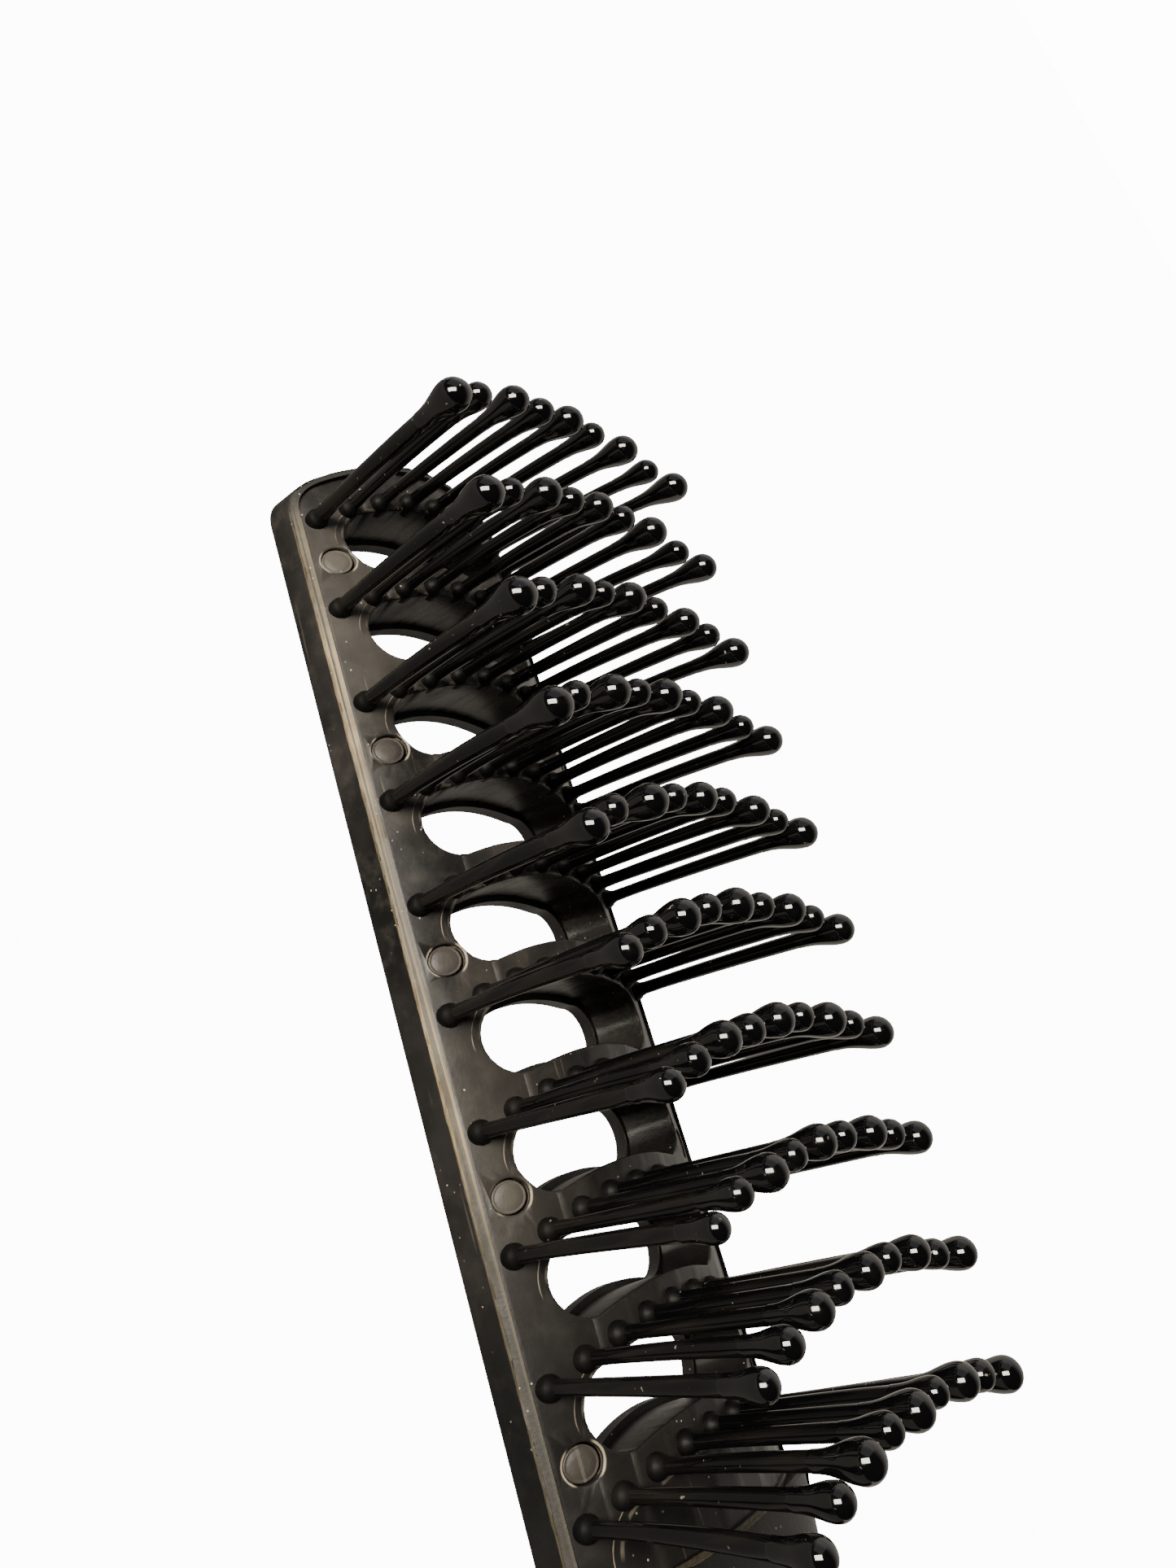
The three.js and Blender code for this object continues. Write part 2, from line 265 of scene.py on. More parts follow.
EDGE_ROUND = 0.3 * MM
VENT_HALF_LENGTH = 11.3 * MM
VENT_HALF_WIDTH = 3.3 * MM
VENT_STRAIGHT = VENT_HALF_LENGTH - VENT_HALF_WIDTH
VENT_BOW = 2.8 * MM
VENT_PITCH = 10.15 * MM
FIRST_VENT_Y = FIRST_ROW_Y - 3.8 * MM
VENT_TAPER = 0.79
PIN_X = 12.4 * MM
PIN_RADIUS = 1.4 * MM
PIN_PITCH = 20.4 * MM
FIRST_PIN_Y = FIRST_ROW_Y - 4.3 * MM


def row_y(row):
    return FIRST_ROW_Y - row * ROW_PITCH


def vent_y(vent):
    return FIRST_VENT_Y - vent * VENT_PITCH


def bowed(bow, x):
    """How far a row or vent is bowed towards the tip at x; nothing at its last bristle."""
    return bow * (1 - (x / ROOT_X) ** 2)


def arch_z(x):
    """Height of the plain arch of the head's front."""
    return math.sqrt(FRONT_RADIUS ** 2 - min(abs(x), 17 * MM) ** 2) - FRONT_RADIUS + FRONT_TOP


def terrace_z(x):
    """Front face with one shallow step for each bristle, and the plain arch outside the last one."""
    angle = math.asin(max(-0.65, min(0.65, x / FRONT_RADIUS)))
    plain = min(max((abs(angle) - 3 * ROOT_STEP) / (0.5 * ROOT_STEP), 0), 1)
    step = max(-4, min(4, round(angle / ROOT_STEP)))
    middle = FRONT_RADIUS * math.sin(step * ROOT_STEP)
    terrace = arch_z(middle) - TERRACE_SLOPE * math.tan(step * ROOT_STEP) * (x - middle)
    return terrace * (1 - plain) + arch_z(x) * plain


def vent_distance(x, y):
    """Distance outside the edge of the nearest vent; negative inside it."""
    nearest = 1.0
    for vent in range(ROWS - 1):
        middle = vent_y(vent)
        if abs(x) <= VENT_STRAIGHT:
            away = abs(y - middle - bowed(VENT_BOW, x))
        else:
            away = math.hypot(abs(x) - VENT_STRAIGHT, y - middle - bowed(VENT_BOW, VENT_STRAIGHT))
        nearest = min(nearest, away - VENT_HALF_WIDTH)
    return nearest


def rounded_drop(distance, radius):
    """How far a face falls at this distance from an edge that is rounded off with radius."""
    if distance >= radius:
        return 0.0
    return radius - math.sqrt(max(0.0, radius ** 2 - (radius - max(distance, 0.0)) ** 2))


def vent_loop(vent, grow, taper=1.0, arc_steps=14, side_steps=14):
    """Points round a vent, grown outwards by grow, with its length scaled by taper."""
    middle = vent_y(vent)
    reach = VENT_HALF_WIDTH + grow
    points = []
    for side in (1, -1):
        for step in range(arc_steps):
            angle = (step / arc_steps - 0.5) * math.pi
            x = side * (VENT_STRAIGHT + reach * math.cos(angle))
            points.append((x * taper, middle + bowed(VENT_BOW, VENT_STRAIGHT) + side * reach * math.sin(angle)))
        for step in range(side_steps):
            x = side * VENT_STRAIGHT * (1 - 2 * step / side_steps)
            points.append((x * taper, middle + bowed(VENT_BOW, x) + side * reach))
    return points


def head_loop(inset, end_y, corner=2.8 * MM, end_steps=12, side_steps=24, corner_steps=8, tip_steps=22):
    """Points round the head in plan: straight rails, rounded tip corners and a bowed tip."""
    side = HEAD_HALF_WIDTH - inset
    radius = max(corner - inset * 0.6, 1.0 * MM)

    def tip(x):
        return TIP_Y - ROW_BOW - inset + bowed(ROW_BOW, x)

    def corner_point(t):
        return start * (1 - t) ** 2 + bend * 2 * t * (1 - t) + end * t * t

    points = [(-side + 2 * side * step / end_steps, end_y) for step in range(end_steps)]
    top = tip(side) - radius
    points += [(side, end_y + (top - end_y) * step / side_steps) for step in range(side_steps)]
    right = side - radius
    start, bend, end = Vector((side, top)), Vector((side, tip(side))), Vector((right, tip(right)))
    points += [tuple(corner_point(step / corner_steps)) for step in range(corner_steps)]
    points += [(x, tip(x)) for x in (right - 2 * right * step / tip_steps for step in range(tip_steps))]
    for step in range(corner_steps):
        x, y = corner_point(1 - step / corner_steps)
        points.append((-x, y))
    points += [(-side, top + (end_y - top) * step / side_steps) for step in range(side_steps)]
    return points


def ring(bm, points):
    """A closed loop of edges through points in plan, at height 0."""
    verts = [bm.verts.new((x, y, 0)) for x, y in points]
    return [bm.edges.new((verts[k - 1], verts[k])) for k in range(len(verts))]


def bridge(bm, loops):
    """Faces between each loop of edges and the next."""
    for a, b in zip(loops, loops[1:]):
        bmesh.ops.bridge_loops(bm, edges=a + b)


def sweep(bm, rings, materials=None):
    """Extrudes a closed ring through the next rings, point k to point k; returns its first and last edges."""
    verts = [bm.verts.new(point) for point in rings[0]]
    edges = first = [bm.edges.new((verts[k - 1], verts[k])) for k in range(len(verts))]
    for number, points in enumerate(rings[1:], 1):
        made = bmesh.ops.extrude_edge_only(bm, edges=edges)["geom"]
        fresh = {element for element in made if isinstance(element, bmesh.types.BMVert)}
        verts = [next(e.other_vert(v) for e in v.link_edges if e.other_vert(v) in fresh) for v in verts]
        edges = [e for e in made if isinstance(e, bmesh.types.BMEdge) and fresh.issuperset(e.verts)]
        for v, point in zip(verts, points):
            v.co = point
        if materials:
            for edge in edges:
                for face in edge.link_faces:
                    face.material_index = materials[number]
    return first, edges


def circle_points(x, y, radius, steps=28):
    return [(x + radius * math.cos(math.tau * k / steps), y + radius * math.sin(math.tau * k / steps))
            for k in range(steps)]


def pin_places():
    """(side, number, x, y) of each pin, left side first."""
    for side in (-1, 1):
        for number in range(5):
            yield side, number + 1, side * PIN_X, FIRST_PIN_Y - PIN_PITCH * number


def plate_front_z(x, y):
    """Height of the finished front face, with its rounded vent edges, outer edge and pin lips."""
    z = terrace_z(x) - rounded_drop(vent_distance(x, y), EDGE_ROUND)
    edge = min(PLATE_EDGE - abs(x), TIP_Y - PLATE_INSET - ROW_BOW + bowed(ROW_BOW, x) - y)
    z -= rounded_drop(edge, 0.08 * MM)
    for _, _, pin_x, pin_y in pin_places():
        away = math.hypot(x - pin_x, y - pin_y) - PIN_RADIUS
        if away < 0.9 * MM:
            z += 0.1 * MM * math.sin(min(max(away / (0.8 * MM), 0), 1) * math.pi)
            z -= rounded_drop(away - 0.06 * MM, 0.12 * MM)
    return z


def smooth_shade(made, angle):
    """Smooth shading, with edges sharper than angle, in degrees, left sharp."""
    for polygon in made.data.polygons:
        polygon.use_smooth = True
    made.data.set_sharp_from_angle(angle=math.radians(angle))


def vent_tone(coords):
    """Distance outside the nearest vent's edge, and distance up from the middle line of that vent."""
    x = coords.part(0).maths("ABSOLUTE")
    inner = x.maths("MINIMUM", VENT_STRAIGHT)
    bow = VENT_BOW - inner * inner * (VENT_BOW / ROOT_X ** 2)
    turns = (coords.part(1) - bow - vent_y(0)) * (1 / VENT_PITCH) + 0.5
    across = (turns.maths("FRACT") - 0.5) * VENT_PITCH
    past = x - inner
    return (past * past + across * across).maths("SQRT") - VENT_HALF_WIDTH, across


def upper_ends(coords, across):
    """1 beside the upper part of a vent's ends, given the distance up from its middle line."""
    return coords.part(0).maths("ABSOLUTE").fade(8.5 * MM, 10 * MM) * across.fade(-0.9 * MM, 0.2 * MM)


def sunk_ends(coords):
    """1 in the shallow recess round the upper part of a vent's ends."""
    away, across = vent_tone(coords)
    return upper_ends(coords, across) * away.fade(0.95 * MM, 0.85 * MM)


def plate_marks(coords, colour):
    """The plate's colour with painted shade in the vents' recesses, painted glint lines and crest highlights, and
    worn pin-hole lips.
    """
    away, across = vent_tone(coords)
    # Painted shade: the shallow recess round the upper part of each vent's ends is painted darker.
    colour = (sunk_ends(coords) * 0.45).blend(colour, (0.004, 0.004, 0.004, 1))
    # Painted highlight: a thin pale line along the outer edge of the recess, broken up by noise, stands in for a
    # glint on its step.
    line = upper_ends(coords, across) * away.fade(0.8 * MM, 0.85 * MM) * away.fade(0.93 * MM, 0.88 * MM)
    line = line * coords.noise(300, 2).fade(0.35, 0.55)
    colour = (line * 0.9).blend(colour, (0.26, 0.23, 0.18, 1))
    beside = coords.part(0).maths("ABSOLUTE") - PIN_X
    turns = (coords.part(1) - FIRST_PIN_Y) * (1 / PIN_PITCH) + 0.5
    along = (turns.maths("FRACT") - 0.5) * PIN_PITCH
    lip = (beside * beside + along * along).maths("SQRT") - PIN_RADIUS
    lip = lip.fade(0.08 * MM, 0.13 * MM) * lip.fade(0.3 * MM, 0.2 * MM)
    lip = lip * beside.maths("ABSOLUTE").fade(0.8 * MM, 1.2 * MM) * coords.noise(300, 2).fade(0.35, 0.5)
    colour = (lip * 0.8).blend(colour, (0.36, 0.31, 0.23, 1))
    # Painted highlight: a pale band with fine ticks along the crest just above each vent's upper edge.
    painted_crest_highlight = away.fade(0.02 * MM, 0.1 * MM) * away.fade(0.4 * MM, 0.3 * MM) * across.fade(0, 1 * MM)
    ticks = coords.stretch(1, 0.15, 0.15).noise(1100, 1).fade(0.38, 0.5)
    return (painted_crest_highlight * ticks * 0.6).blend(colour, (0.14, 0.125, 0.10, 1))


def scratch_tone(coords):
    return coords.stretch(1, 0.04, 1).noise(1800, 2, 0.5).fade(0.68, 0.74)


def black_plastic(name, dark, warm, gloss, dustiness, grain, marks=None, sunk=None):
    """Moulded black plastic: warm and cool cast, dull scuffs, hair-fine scratches and dust.
    The cast and the pale bloom also carry painted light: full towards the tip and fading towards the handle.

    marks(coords, colour) may paint on the colour, and sunk(coords) is 1 where the face lies a little lower.
    """
    def varying(coords):
        # Painted light: the warm cast and the pale bloom are scaled by a painted falloff along y. It is full towards
        # the tip and weak towards the handle, as if less light fell there.
        painted_light_falloff = 0.15 + 0.85 * coords.part(1).fade(15 * MM, 65 * MM)
        cast = coords.noise(70, 3, 0.6).fade(0.35, 0.7) * painted_light_falloff
        bloom = coords.noise(420, 3, 0.6).fade(0.45, 0.75)
        colour = (bloom * painted_light_falloff * 0.35).blend(cast.blend(dark, warm), (0.06, 0.054, 0.045, 1))
        scratches = scratch_tone(coords)
        colour = (scratches * 0.12).blend(colour, (0.30, 0.27, 0.22, 1))
        if marks:
            colour = marks(coords, colour)
        dust = coords.specks(1100, 0.12) * coords.noise(200, 1).fade(0.5, 0.6) * (0.6 * dustiness)
        scuff = coords.noise(260, 4, 0.65).fade(0.42, 0.75)
        return {"Base Color": dust.blend(colour, (0.62, 0.58, 0.50, 1)),
                "Roughness": gloss + 0.16 * scuff + 0.1 * scratches + 0.25 * dust}

    def bump(coords):
        pits = coords.noise(2600, 2, 0.6)
        waves = coords.noise(320, 3, 0.5)
        height = pits * grain + waves - scratch_tone(coords) * 0.3
        if sunk:
            height = height - sunk(coords) * 2.5
        return height, 0.05 * MM, 0.35

    return material_of(name, {"Specular IOR Level": 0.38}, varying, bump)


def face_down(bm):
    """Turns an open flat sheet's faces to look down, so that extruding it up closes a solid facing out."""
    bmesh.ops.recalc_face_normals(bm, faces=bm.faces[:])
    if sum(face.normal.z for face in bm.faces) > 0:
        bmesh.ops.reverse_faces(bm, faces=bm.faces[:])


HEAD_BLACK = black_plastic("head_black", (0.008, 0.0078, 0.0078, 1), (0.046, 0.042, 0.0375, 1), 0.3, 1.0, 0.5,
                           plate_marks, sunk_ends)

# The plate is drawn flat, with fine rings of points round each opening, then pulled up to its front face.
bm = bmesh.new()
loops = [ring(bm, head_loop(PLATE_INSET + step * MM, PLATE_END_Y + step / 2 * MM)) for step in (0, 0.2, 0.4)]
bridge(bm, loops)
boundary = list(loops[-1])
for vent in range(ROWS - 1):
    loops = [ring(bm, vent_loop(vent, grow * MM)) for grow in (0, 0.04, 0.1, 0.18, 0.28)]
    bridge(bm, loops)
    boundary += loops[-1]
for side, number, x, y in pin_places():
    loops = [ring(bm, circle_points(x, y, PIN_RADIUS + grow * MM)) for grow in (0.06, 0.1, 0.18)]
    bridge(bm, loops)
    boundary += loops[-1]
bmesh.ops.triangle_fill(bm, edges=boundary, use_beauty=True, normal=(0, 0, 1))
for step in range(-4, 5):
    for part, nudge in ((-0.5, RISER), (-0.25, 0), (0, 0), (0.25, 0), (0.5, -RISER)):
        cut = FRONT_RADIUS * math.sin((step + part) * ROOT_STEP) + nudge
        if abs(cut) < ROOT_X + 0.5 * MM:
            geometry = bm.verts[:] + bm.edges[:] + bm.faces[:]
            bmesh.ops.bisect_plane(bm, geom=geometry, dist=1e-7, plane_co=(cut, 0, 0), plane_no=(1, 0, 0))
face_down(bm)
raised = bmesh.ops.extrude_face_region(bm, geom=bm.faces[:])["geom"]
upper = {v for v in raised if isinstance(v, bmesh.types.BMVert)}


def narrowed(x, taper, full, edge):
    """x taken in towards the middle by taper, easing back to its own place at the outer edge."""
    if abs(x) <= full:
        return x * taper
    inner = full * taper
    return math.copysign(inner + (abs(x) - full) * (edge - inner) / (edge - full), x)


def pinched(x, y, amount, fading=1.5 * MM):
    """y brought towards the middle line of its vent by amount at the vent's edge, fading out across the rib."""
    offset = (vent_y(0) + bowed(VENT_BOW, min(abs(x), VENT_STRAIGHT)) - y) / VENT_PITCH
    nearest = max(0, min(ROWS - 2, round(offset)))
    away = (nearest - offset) * VENT_PITCH
    if abs(away) > VENT_HALF_WIDTH + fading:
        return y
    reach = min(abs(away) / VENT_HALF_WIDTH, (VENT_HALF_WIDTH + fading - abs(away)) / fading, 1)
    return y + math.copysign(amount * reach, away)


for v in bm.verts:
    if v in upper:
        v.co.z = plate_front_z(v.co.x, v.co.y)
    else:
        v.co.y = pinched(v.co.x, v.co.y, 0.3 * MM)
        v.co = (narrowed(v.co.x, VENT_TAPER, 12 * MM, PLATE_EDGE), v.co.y, PLATE_BACK)
bmesh.ops.recalc_face_normals(bm, faces=bm.faces[:])
vent_plate = object_of("moulded_vent_plate", bm, HEAD_BLACK)
smooth_shade(vent_plate, 40)
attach(vent_plate, "root")
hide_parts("vent_plate")

# Plate pins: round plastic pins pressed through the plate's rails into the body, five along each side.
# Each shows as a dull grey disc with a shallow ring, in a hole a hair wider than itself.
PIN_GREY = black_plastic("pin_grey", (0.03, 0.027, 0.024, 1), (0.085, 0.076, 0.066, 1), 0.42, 1.0, 1.2)
PIN_PROFILE = [(0, 0.25), (1.2, 0.25), (1.33, 0.4), (1.34, 4.35), (1.34, 4.46), (1.29, 4.54), (1.2, 4.56),
               (1.14, 4.52), (1.08, 4.52), (1.0, 4.57), (0.5, 4.59), (0, 4.6)]


def lathe(profile, steps):
    """A closed turned shape about Z in its own mesh, from (radius, height) points in millimetres."""
    turned = bmesh.new()
    verts = [turned.verts.new((r * MM, 0, z * MM)) for r, z in profile]
    edges = [turned.edges.new(pair) for pair in zip(verts, verts[1:])]
    bmesh.ops.spin(turned, geom=verts + edges, cent=(0, 0, 0), axis=(0, 0, 1), dvec=(0, 0, 0),
                   angle=math.tau, steps=steps, use_merge=True)
    bmesh.ops.remove_doubles(turned, verts=turned.verts[:], dist=1e-6)
    bmesh.ops.recalc_face_normals(turned, faces=turned.faces[:])
    return turned


for side, number, x, y in pin_places():
    bm = lathe(PIN_PROFILE, 32)
    for v in bm.verts:
        v.co.x += x
        v.co.y += y
        if v.co.z > 1 * MM:
            v.co.z += arch_z(v.co.x) - arch_z(x)
    place = f"{'left' if side < 0 else 'right'}_{number}"
    pin = object_of(f"pressed_pin_{place}", bm, PIN_GREY)
    smooth_shade(pin, 50)
    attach(pin, "root")
    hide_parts(f"plate_pin_{place}")


# Bristle rows: black nylon bristles, nine to a row, pushed in from behind through a rib and fanned across the arch.
# Each has a stout root, a shaft that thickens outwards, a long neck and a glossy bead; each is a little bent.
# The first bristle of each row, on the near rail, is the stoutest, and its beads differ most from row to row.
BRISTLE_LENGTH = (18.9, 18.6)
BEAD_RADIUS = (1.5, 1.28)
FIRST_BEADS = (1.62, 1.62, 1.66, 1.66, 1.48, 1.32, 1.28, 1.12, 1.2, 1.3)
NECK_LENGTHS = 2.9
FAN_ANGLE = 0.161
LEAN_ANGLE = 0.039
END_LENGTHENING = 0.2
SWAY = (0.75, 0.35, 0.85, 0.6, 0.3, 0.05, 0.25, 0.3, 0.05)
BENT_ROWS = 5
ROOT_SHIFT = (0.5 * MM, 0.07 * MM)
chance = random.Random(11)


def nylon(name, dark, warm, gloss, streaks, peel, shine=0.5):
    """Black nylon: flow streaks along the bristle, a few pale nicks and specks, and a slight orange peel."""
    def varying(coords):
        flow = coords.stretch(1, 1, 0.08).noise(900, 2, 0.5).fade(0.45, 0.7)
        nicks = coords.noise(2100, 1, 0.5).fade(0.72, 0.78) * coords.noise(160, 1).fade(0.54, 0.62)
        base = (nicks * 0.5).blend((flow * streaks).blend(dark, warm), (0.42, 0.39, 0.34, 1))
        return {"Base Color": base, "Roughness": gloss + 0.09 * flow + 0.2 * nicks}

    def bump(coords):
        return coords.stretch(1, 1, 0.2).noise(1300, 2, 0.5), 0.04 * MM, peel

    return material_of(name, {"Specular IOR Level": shine, "IOR": 1.53}, varying, bump)


SHAFT_NYLON = nylon("shaft_nylon", (0.0025, 0.0025, 0.003, 1), (0.008, 0.007, 0.006, 1), 0.08, 0.8, 0.08)
BEAD_NYLON = nylon("bead_nylon", (0.002, 0.002, 0.0025, 1), (0.004, 0.004, 0.0035, 1), 0.05, 0.5, 0.03, 0.9)
ROOT_NYLON = nylon("root_nylon", (0.003, 0.003, 0.003, 1), (0.006, 0.005, 0.0045, 1), 0.5, 0.8, 0.3, 0.2)


def bristle_profile(length, bead, stout):
    """(radius, height) points of a bristle in millimetres: root, shaft, small step, neck and bead."""
    neck = length - NECK_LENGTHS * bead
    points = [(0, -0.9), (1.05, -0.9), (1.06, 0), (1.03, 0.35), (0.93, 0.62), (0.76, 0.82), (0.62 * stout, 1.3)]
    points += [((0.58 + 0.16 * k / 9) * stout, 1.5 + (neck - 1.5) * k / 9) for k in range(1, 10)]
    lip, foot = 0.78 * stout, neck + 0.12
    points.append((lip, foot))
    for k in range(1, 13):
        t = k / 12
        swell = (1 - math.cos(math.pi * t ** 1.2)) / 2
        points.append((lip + (bead - lip) * swell, foot + t * (length - foot)))
    for k in range(1, 7):
        angle = k * math.pi / 14
        points.append((bead * math.cos(angle), length + bead * math.sin(angle)))
    return points + [(0, length + bead)]


scratch = bpy.data.meshes.new("scratch")
for row in range(ROWS):
    bm = bmesh.new()
    for number in range(BRISTLES):
        u = (number - 4) / 4
        x = FRONT_RADIUS * math.sin(ROOT_ANGLE * u)
        root = Vector((x, row_y(row) + ROOT_SHIFT[0] - ROOT_SHIFT[1] * row + bowed(ROW_BOW, x), arch_z(x)))
        axis = Vector((math.sin(FAN_ANGLE * u), -math.sin(LEAN_ANGLE), math.cos(FAN_ANGLE * u))).normalized()
        length = BRISTLE_LENGTH[number % 2] * (1 + END_LENGTHENING * u * u)
        if number == 0:
            bead, stout, lean = FIRST_BEADS[row], 1.2 if row < BENT_ROWS else 1.05, -1.4
        else:
            bead, stout, lean = BEAD_RADIUS[number % 2] * chance.uniform(0.96, 1.05), chance.uniform(0.97, 1.06), -1.0
        single = lathe(bristle_profile(length, bead, stout), 24)
        for face in single.faces:
            height = face.calc_center_median().z / MM
            face.material_index = 2 if height < 1.2 else 1 if height > length - NECK_LENGTHS * bead else 0
        single.normal_update()
        turn = axis.to_track_quat("Z", "Y").to_matrix()
        across = SWAY[number] * (1 if row < BENT_ROWS else 0.1) + chance.uniform(-0.15, 0.15)
        sway = Vector((across, lean + 0.07 * row + chance.uniform(-0.15, 0.15), 0)) * MM
        wave = Vector((chance.uniform(-0.12, 0.12), chance.uniform(-0.12, 0.12), 0)) * MM
        for v in single.verts:
            t = max(v.co.z, 0) / (length * MM)
            v.co = root + turn @ v.co + sway * t ** 1.8 + wave * math.sin(math.pi * min(t, 1))
        single.to_mesh(scratch)
        single.free()
        bm.from_mesh(scratch)
    row_piece = object_of(f"nylon_row_{row + 1:02d}", bm, SHAFT_NYLON, BEAD_NYLON, ROOT_NYLON)
    smooth_shade(row_piece, 50)
    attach(row_piece, "root")
    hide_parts(f"bristle_row_{row + 1:02d}")
bpy.data.meshes.remove(scratch)


# Brush body: one black moulding, a shallow tray under the head that runs on as the back half of the handle.
# Its rails end in a ragged flash line, then a bevel worn pale; the flat back is pierced by the same vents.
body_low, body_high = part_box("brush_body")
SIDE_X = body_high.x


def rim_marks(coords, colour):
    """The worn rim's colour: fine drawn lines, a dark groove that widens down the head, and no wear at the tip."""
    along = coords.part(1)
    drawn = coords.stretch(1, 0.012, 1).noise(2600, 2, 0.5).fade(0.5, 0.62)
    inset = SIDE_X - coords.part(0).maths("ABSOLUTE")
    width = (1 - along.fade(46 * MM, 66 * MM)) * (0.12 * MM)
    groove = ((inset - 0.56 * MM).maths("ABSOLUTE") - width).fade(0.08 * MM, 0.03 * MM)
    colour = (drawn * 0.45 + groove * 0.75).maths("MINIMUM", 0.9).blend(colour, (0.012, 0.011, 0.009, 1))
    pale = (0.3 + 0.7 * along.fade(97 * MM, 86 * MM)) * (0.25 + 0.75 * along.fade(33 * MM, 47 * MM))
    return (pale * along.fade(107 * MM, 102 * MM)).blend((0.02, 0.02, 0.019, 1), colour)


BODY_BLACK = black_plastic("body_black", (0.004, 0.004, 0.0042, 1), (0.027, 0.025, 0.0238, 1), 0.36, 0.8, 1.0)
RIM_WORN = black_plastic("rim_worn", (0.15, 0.12, 0.072, 1), (0.42, 0.33, 0.19, 1), 0.5, 1.0, 1.6, rim_marks)
HEAD_END_Y = PLATE_END_Y - 0.8 * MM
# Each point of the rail's section: how far in from the side, how high, how ragged, and 1 on the worn bevel.
RIM_SECTION = [(1.26, 0.6, 0, 0), (0.5, 0.0, 0, 0), (0.2, 0.04, 0, 0), (0.05, 0.18, 0, 0), (0.0, 0.4, 0, 0),
               (0.01, 0.6, 0, 0), (0.1, 1.6, 0, 0), (0.17, 2.45, 0, 0), (0.19, 2.6, 0, 0), (0.22, 2.72, 0.03, 0),
               (0.26, 2.84, 0.08, 1), (0.32, 2.84, 0.08, 1), (0.38, 2.78, 0.04, 1), (0.44, 2.81, 0.02, 1),
               (0.7, 2.93, 0, 1), (0.9, 3.02, 0, 1), (0.95, 2.95, 0, 0), (0.98, 2.7, 0, 0), (1.0, 2.5, 0, 0),
               (1.0, 0.8, 0, 0), (1.26, 0.7, 0, 0)]
bm = bmesh.new()
loops = []
for inset, height, rag, _ in RIM_SECTION:
    points = head_loop(inset * MM, HEAD_END_Y + inset * MM, side_steps=210, tip_steps=70, corner_steps=14)
    raised = [0.0] * len(points)
    if rag:
        level = 0.0
        for k in range(len(points)):
            level = 0.55 * level + chance.uniform(-1, 1)
            raised[k] = level * rag * MM
    follow = min(max((height - 0.6) / 1.2, 0), 1)
    loop = []
    for (x, y), lift in zip(points, raised):
        z = height * MM + lift + follow * (arch_z(x) - arch_z(SIDE_X))
        loop.append((x + math.copysign(lift * 0.5, x), y, z))
    loops.append(loop)
sweep(bm, loops + loops[:1], [entry[3] for entry in RIM_SECTION] + [0])
bmesh.ops.remove_doubles(bm, verts=bm.verts[:], dist=1e-6)
bmesh.ops.recalc_face_normals(bm, faces=bm.faces[:])
rails = object_of("tray_rails", bm, BODY_BLACK, RIM_WORN)
smooth_shade(rails, 40)
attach(rails, "root")
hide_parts("brush_body")

bm = bmesh.new()
boundary = ring(bm, head_loop(0.9 * MM, HEAD_END_Y - 3 * MM))
for vent in range(ROWS - 1):
    boundary += ring(bm, vent_loop(vent, -0.28 * MM, VENT_TAPER * 0.985))
bmesh.ops.triangle_fill(bm, edges=boundary, use_beauty=True, normal=(0, 0, 1))
face_down(bm)
for v in bm.verts:
    v.co.z = 0.02 * MM
for element in bmesh.ops.extrude_face_region(bm, geom=bm.faces[:])["geom"]:
    if isinstance(element, bmesh.types.BMVert):
        element.co.z = 1.4 * MM
bmesh.ops.recalc_face_normals(bm, faces=bm.faces[:])
tray_back = object_of("tray_back", bm, BODY_BLACK)
eased = tray_back.modifiers.new("eased edges", "BEVEL")
eased.width = 0.12 * MM
eased.segments = 2
eased.limit_method = "ANGLE"
smooth_shade(tray_back, 40)
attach(tray_back, "root")
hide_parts("brush_body")


# Handle: the back half is part of the body's moulding and the front shell is welded on, both from one smooth loft.
# They meet along a seam and are cut back between two shoulders, where the grip sleeve sits.
PARTING_Z = 5 * MM
GRIP_START_Y, GRIP_END_Y = -34 * MM, -94 * MM
GRIP_DEPTH = 1.5 * MM
# Stations down the handle: y, half width and height, in millimetres.
HANDLE_STATIONS = [(8.2, 15.7, 7.6), (2, 13.6, 8.2), (-6, 9.6, 9.8), (-18, 8.2, 11.4), (-40, 9.6, 12.8),
                   (-70, 11.2, 13.6), (-94, 10.6, 12.8), (-106, 8.2, 10.4), (-111.4, 4.2, 7.4)]


def handle_size(y):
    """Half width and height of the handle at y, along a smooth curve through the stations."""
    y = y / MM
    last = len(HANDLE_STATIONS) - 1
    k = next((k for k in range(1, last + 1) if y >= HANDLE_STATIONS[k][0]), last)
    near, far = HANDLE_STATIONS[k - 1], HANDLE_STATIONS[k]
    before = HANDLE_STATIONS[max(k - 2, 0)]
    after = HANDLE_STATIONS[min(k + 1, last)]
    span = far[0] - near[0]
    t = (y - near[0]) / span
    sizes = []
    for which in (1, 2):
        slope_near = (far[which] - before[which]) / (far[0] - before[0]) * span
        slope_far = (after[which] - near[which]) / (after[0] - near[0]) * span
        a, b = near[which], far[which]
        sizes.append((a * (1 + 2 * t) * (1 - t) ** 2 + slope_near * t * (1 - t) ** 2
                      + b * t * t * (3 - 2 * t) - slope_far * t * t * (1 - t)) * MM)
    return sizes


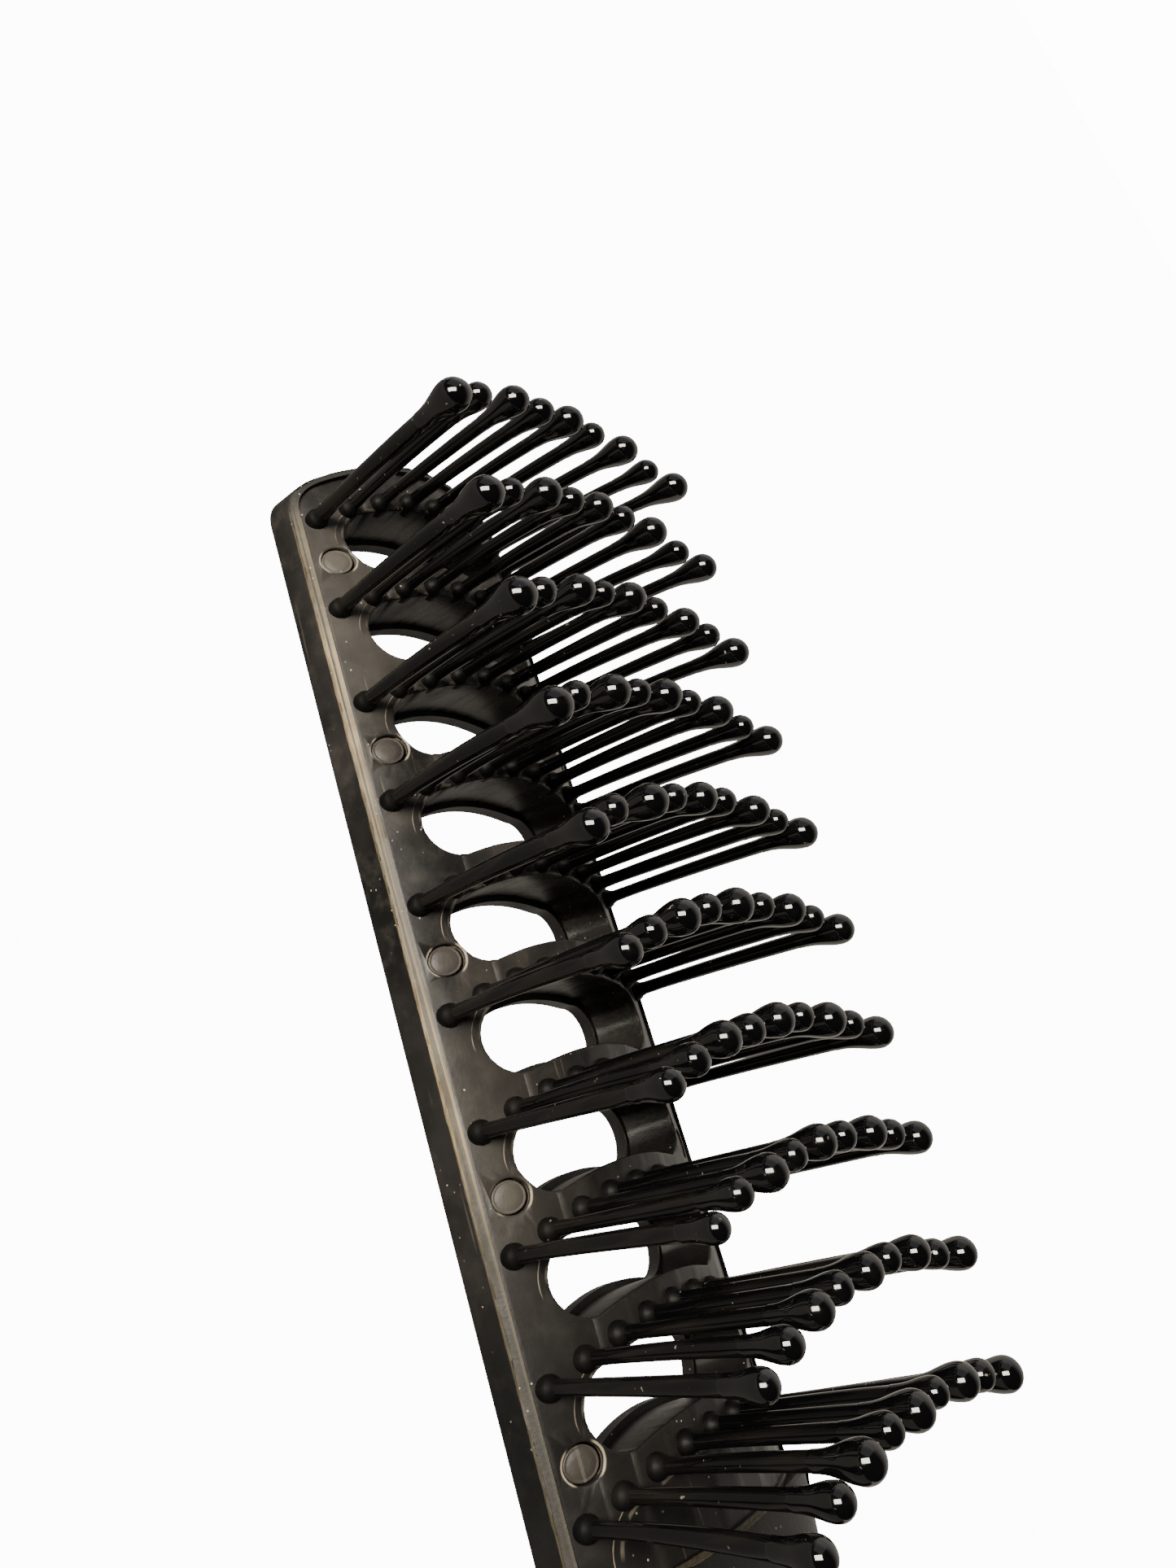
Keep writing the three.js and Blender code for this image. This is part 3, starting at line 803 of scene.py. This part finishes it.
def handle_points(y, inset=0.0, low=0.0, high=1.0, steps=56):
    """Points round the handle at y, a rounded oblong brought in by inset and cut off below low and above high."""
    half_width, height = handle_size(y)
    middle, rise = (height - 0.8 * MM) / 2, (height + 0.8 * MM) / 2 - inset
    points = []
    for k in range(steps):
        angle = math.tau * (k + 0.5) / steps
        x = (half_width - inset) * math.copysign(abs(math.cos(angle)) ** 0.8, math.cos(angle))
        z = middle + rise * math.copysign(abs(math.sin(angle)) ** 0.8, math.sin(angle))
        points.append(Vector((x, y, max(low, min(high, z)))))
    return points


def loft(bm, sections):
    """A closed skin through the sections, capped at both ends."""
    for end in sweep(bm, sections):
        bmesh.ops.edgeloop_fill(bm, edges=end)


def handle_stations(start_y):
    """(y, inset) pairs down the handle, cut back between the grip's shoulders and rounded at the end."""
    stations = [(start_y, 0.25 * MM), (start_y - 0.25 * MM, 0)]
    y = start_y - 1.5 * MM
    while y > GRIP_START_Y + 1.5 * MM:
        stations.append((y, 0))
        y -= 1.5 * MM
    for shoulder, way in ((GRIP_START_Y + 0.3 * MM, 1), (GRIP_END_Y - 0.3 * MM, -1)):
        edge = [(shoulder + way * 0.35 * MM, 0), (shoulder + way * 0.1 * MM, 0.1 * MM), (shoulder, 0.3 * MM),
                (shoulder, GRIP_DEPTH)]
        stations += edge if way > 0 else edge[::-1]
    y = GRIP_END_Y - 2 * MM
    while y > body_low.y + 1.0 * MM:
        stations.append((y, 0))
        y -= 1.0 * MM
    for k in range(1, 7):
        angle = k / 6 * math.pi / 2
        stations.append((body_low.y + 1.0 * MM * (1 - math.sin(angle)), 1.6 * MM * (1 - math.cos(angle))))
    return stations


SEAM = 0.12 * MM
NECK_Y = 8.2 * MM


def handle_section(y, inset, low, high):
    """handle_points at y; above the neck they keep the neck's shape."""
    return [Vector((p.x, y, p.z)) for p in handle_points(min(y, NECK_Y), inset, low, high)]


for name, start_y, low, high, node in (("handle_back", 9.2 * MM, 0.0, PARTING_Z - SEAM, "brush_body"),
                                      ("handle_front", NECK_Y, PARTING_Z + SEAM, 1.0, "handle_front_shell")):
    bm = bmesh.new()
    loft(bm, [handle_section(y, inset, low, high) for y, inset in handle_stations(start_y)])
    if node == "handle_front_shell":
        loft(bm, [handle_points(y, inset + 0.4 * MM, PARTING_Z - SEAM * 2, PARTING_Z + SEAM * 2)
                  for y, inset in handle_stations(start_y)])
    bmesh.ops.recalc_face_normals(bm, faces=bm.faces[:])
    half = object_of(name, bm, BODY_BLACK)
    smooth_shade(half, 32)
    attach(half, "root")
    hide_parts(node)


# Grip sleeve: soft black rubber stretched over the cut-back part of the handle.
# Shallow grooves run round it at an even pitch, and its flat back lies level with the handle's.
def rubber_varying(coords):
    bloom = coords.noise(90, 4, 0.6).fade(0.4, 0.75)
    fine = coords.noise(1400, 2, 0.5).fade(0.4, 0.7)
    lint = coords.specks(420, 0.03) * coords.noise(150, 1).fade(0.52, 0.58)
    colour = (bloom * 0.7).blend((0.012, 0.012, 0.012, 1), (0.035, 0.033, 0.03, 1))
    return {"Base Color": lint.blend(colour, (0.4, 0.38, 0.34, 1)), "Roughness": 0.62 + 0.16 * bloom + 0.08 * fine}


def rubber_bump(coords):
    return coords.noise(1800, 3, 0.6), 0.06 * MM, 0.5


GRIP_RUBBER = material_of("grip_rubber", {"Specular IOR Level": 0.4}, rubber_varying, rubber_bump)
GROOVE_PITCH = 5 * MM
GROOVE_HALF_WIDTH = 0.9 * MM
GROOVE_DEPTH = 0.45 * MM
STEP = 0.5 * MM
bm = bmesh.new()
sections = []
for k in range(int((GRIP_START_Y - GRIP_END_Y) / STEP) + 1):
    y = GRIP_START_Y - k * STEP
    from_end = min(GRIP_START_Y - y, y - GRIP_END_Y)
    from_groove = abs((GRIP_START_Y - y - GROOVE_PITCH / 2) % GROOVE_PITCH - GROOVE_PITCH / 2)
    groove = max(0.0, 1 - from_groove / GROOVE_HALF_WIDTH)
    inset = GROOVE_DEPTH * groove * groove * (3 - 2 * groove) if from_end > 2 * MM else 0
    sections.append(handle_points(y, max(inset, 0.35 * MM - from_end)))
loft(bm, sections)
bmesh.ops.recalc_face_normals(bm, faces=bm.faces[:])
sleeve = object_of("rubber_sleeve", bm, GRIP_RUBBER)
smooth_shade(sleeve, 45)
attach(sleeve, "root")
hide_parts("grip_sleeve")
